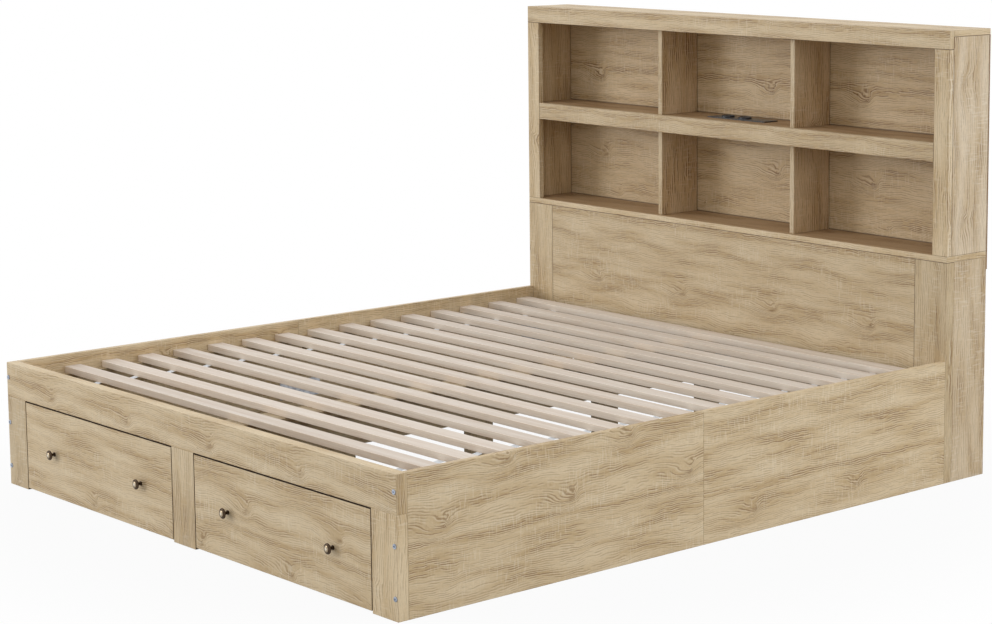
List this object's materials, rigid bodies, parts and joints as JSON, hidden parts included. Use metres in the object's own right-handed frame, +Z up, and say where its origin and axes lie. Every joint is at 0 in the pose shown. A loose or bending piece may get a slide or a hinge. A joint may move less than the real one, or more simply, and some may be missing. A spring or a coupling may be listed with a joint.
{
  "type": "storage bed",
  "caption": "Light oak foil storage bed with slatted deck, foot drawers on casters and a bookcase headboard with a charging unit.",
  "frame": {"origin": "on the floor, under the middle of the whole bed's box, knobs included", "axes": "+X across the bed towards its right side as seen from the foot, +Y from the foot to the head, +Z up"},
  "size_m": [1.98, 2.299, 1.394],
  "materials": {
    "oak_foil_rail": "satin light oak foil, grain along the board",
    "oak_foil_post": "satin light oak foil, upright grain",
    "oak_foil_case": "satin light oak foil inside the bookcase",
    "drawer_board": "satin light oak foil on the drawer boxes",
    "slat_wood": "planed pale softwood",
    "cotton_tape": "woven white tape",
    "beech_dowel": "fluted beech dowel",
    "zinc_steel": "zinc plated",
    "pewter_knob": "satin pewter",
    "black_plastic": "fine textured black",
    "wheel_plastic": "moulded grey-black"
  },
  "bodies": {
    "bed_frame": {"footboard_top_rail": "oak_foil_rail", "footboard_post_left": "oak_foil_post", "footboard_post_right": "oak_foil_post", "footboard_centre_stile": "oak_foil_post", "footboard_bolts": "zinc_steel", "side_rail_left_foot": "oak_foil_rail", "side_rail_left_head": "oak_foil_rail", "side_rail_right_foot": "oak_foil_rail", "side_rail_right_head": "oak_foil_rail", "slat_cleats": "slat_wood", "steel_brackets": "zinc_steel", "bracket_screws": "zinc_steel", "dowels": "beech_dowel", "slats": "slat_wood", "slat_tapes": "cotton_tape", "centre_beam_top": "oak_foil_rail", "centre_beam_web": "oak_foil_rail", "centre_legs": "oak_foil_post", "headboard_post_left": "oak_foil_post", "headboard_post_right": "oak_foil_post", "headboard_panel": "oak_foil_rail", "headboard_base_side_left": "oak_foil_post", "headboard_base_side_right": "oak_foil_post", "bookcase_bottom": "oak_foil_case", "bookcase_side_left": "oak_foil_case", "bookcase_side_right": "oak_foil_case", "bookcase_top": "oak_foil_case", "bookcase_shelf": "oak_foil_case", "bookcase_back": "oak_foil_case", "bookcase_stile_left": "oak_foil_post", "bookcase_stile_right": "oak_foil_post", "bookcase_top_fascia": "oak_foil_rail", "bookcase_shelf_fascia": "oak_foil_rail", "bookcase_dividers": "oak_foil_case", "charging_unit_plate": "black_plastic", "charging_unit_housing": "black_plastic"},
    "left_drawer": {"drawer_left_front": "oak_foil_rail", "drawer_left_back": "drawer_board", "drawer_left_inner_side": "drawer_board", "drawer_left_outer_side": "drawer_board", "drawer_left_bottom": "slat_wood", "drawer_left_battens": "slat_wood", "drawer_left_knobs": "pewter_knob", "drawer_left_screws": "zinc_steel", "drawer_left_caster_brackets": "zinc_steel", "drawer_left_caster_axles": "zinc_steel"},
    "left_drawer_foot_wheels": {"drawer_left_foot_wheels": "wheel_plastic"},
    "left_drawer_head_wheels": {"drawer_left_head_wheels": "wheel_plastic"},
    "right_drawer": {"drawer_right_front": "oak_foil_rail", "drawer_right_back": "drawer_board", "drawer_right_inner_side": "drawer_board", "drawer_right_outer_side": "drawer_board", "drawer_right_bottom": "slat_wood", "drawer_right_battens": "slat_wood", "drawer_right_knobs": "pewter_knob", "drawer_right_screws": "zinc_steel", "drawer_right_caster_brackets": "zinc_steel", "drawer_right_caster_axles": "zinc_steel"},
    "right_drawer_foot_wheels": {"drawer_right_foot_wheels": "wheel_plastic"},
    "right_drawer_head_wheels": {"drawer_right_head_wheels": "wheel_plastic"}
  },
  "joints": [
    {"name": "left_drawer_slide", "type": "slide", "parent": "bed_frame", "child": "left_drawer", "axis": [0, -1, 0], "range_m": [0, 0.43]},
    {"name": "left_foot_wheels_roll", "type": "hinge", "parent": "left_drawer", "child": "left_drawer_foot_wheels", "pos_m": [0, -1.0575, 0.02], "axis": [1, 0, 0], "range_deg": [0, 1240]},
    {"name": "left_head_wheels_roll", "type": "hinge", "parent": "left_drawer", "child": "left_drawer_head_wheels", "pos_m": [0, -0.6925, 0.02], "axis": [1, 0, 0], "range_deg": [0, 1240]},
    {"name": "right_drawer_slide", "type": "slide", "parent": "bed_frame", "child": "right_drawer", "axis": [0, -1, 0], "range_m": [0, 0.43]},
    {"name": "right_foot_wheels_roll", "type": "hinge", "parent": "right_drawer", "child": "right_drawer_foot_wheels", "pos_m": [0, -1.0575, 0.02], "axis": [1, 0, 0], "range_deg": [0, 1240]},
    {"name": "right_head_wheels_roll", "type": "hinge", "parent": "right_drawer", "child": "right_drawer_head_wheels", "pos_m": [0, -0.6925, 0.02], "axis": [1, 0, 0], "range_deg": [0, 1240]}
  ],
  "couplings": [
    {"joint": "left_foot_wheels_roll", "follows": "left_drawer_slide", "rad_per_m": 50},
    {"joint": "left_head_wheels_roll", "follows": "left_drawer_slide", "rad_per_m": 50},
    {"joint": "right_foot_wheels_roll", "follows": "right_drawer_slide", "rad_per_m": 50},
    {"joint": "right_head_wheels_roll", "follows": "right_drawer_slide", "rad_per_m": 50}
  ]
}
